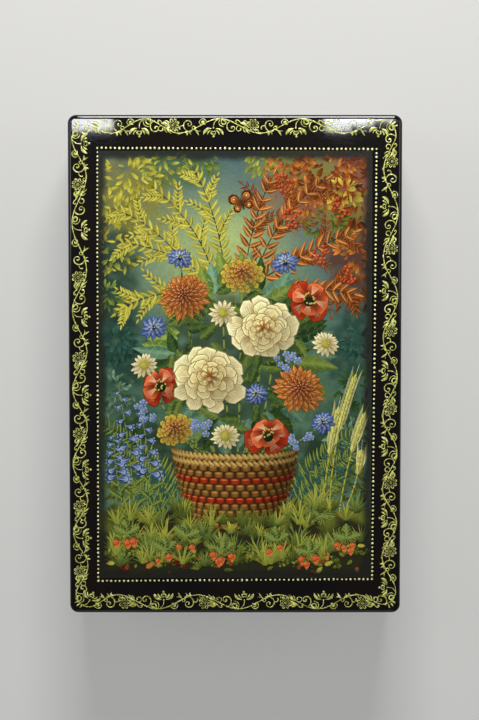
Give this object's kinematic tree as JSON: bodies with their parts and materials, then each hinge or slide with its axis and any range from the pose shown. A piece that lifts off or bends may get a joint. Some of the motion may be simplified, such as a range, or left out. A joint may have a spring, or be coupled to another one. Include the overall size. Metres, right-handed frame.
{
  "type": "lacquer box",
  "caption": "Rectangular papier-mache lacquer box with a crowned, painted and gilded lid on two inset knuckle hinges.",
  "frame": {"origin": "middle of the underside, on the surface that the closed box lies on", "axes": "+Z out of the lid, +Y to the head end of the picture, +X from the hinge side to the opening side"},
  "size_m": [0.14, 0.21, 0.0553],
  "materials": {
    "black_lacquer": "pressed card under polished black lacquer, high gloss",
    "red_lacquer": "pressed card under gloss red lacquer",
    "painted_miniature": "thin painted ground under clear gloss lacquer",
    "gold_paint": "thin gilt brush ornament under clear lacquer",
    "hinge_block": "hardwood knuckle block under black gloss lacquer",
    "hinge_pin": "drawn steel wire"
  },
  "bodies": {
    "body": {"bottom_board": "black_lacquer", "wound_wall": "black_lacquer", "head_collar": "red_lacquer", "foot_collar": "red_lacquer", "hinge_side_collar": "red_lacquer", "opening_side_collar": "red_lacquer", "head_hinge_body_leaf": "hinge_block", "head_hinge_pin": "hinge_pin", "foot_hinge_body_leaf": "hinge_block", "foot_hinge_pin": "hinge_pin"},
    "lid": {"lid_rim": "black_lacquer", "lid_board": "black_lacquer", "miniature_ground": "painted_miniature", "head_hinge_lid_leaf": "hinge_block", "foot_hinge_lid_leaf": "hinge_block"}
  },
  "joints": [
    {"name": "lid_hinge", "type": "hinge", "parent": "body", "child": "lid", "pos_m": [-0.0678, 0, 0.04], "axis": [0, -1, 0], "range_deg": [0, 98]}
  ]
}
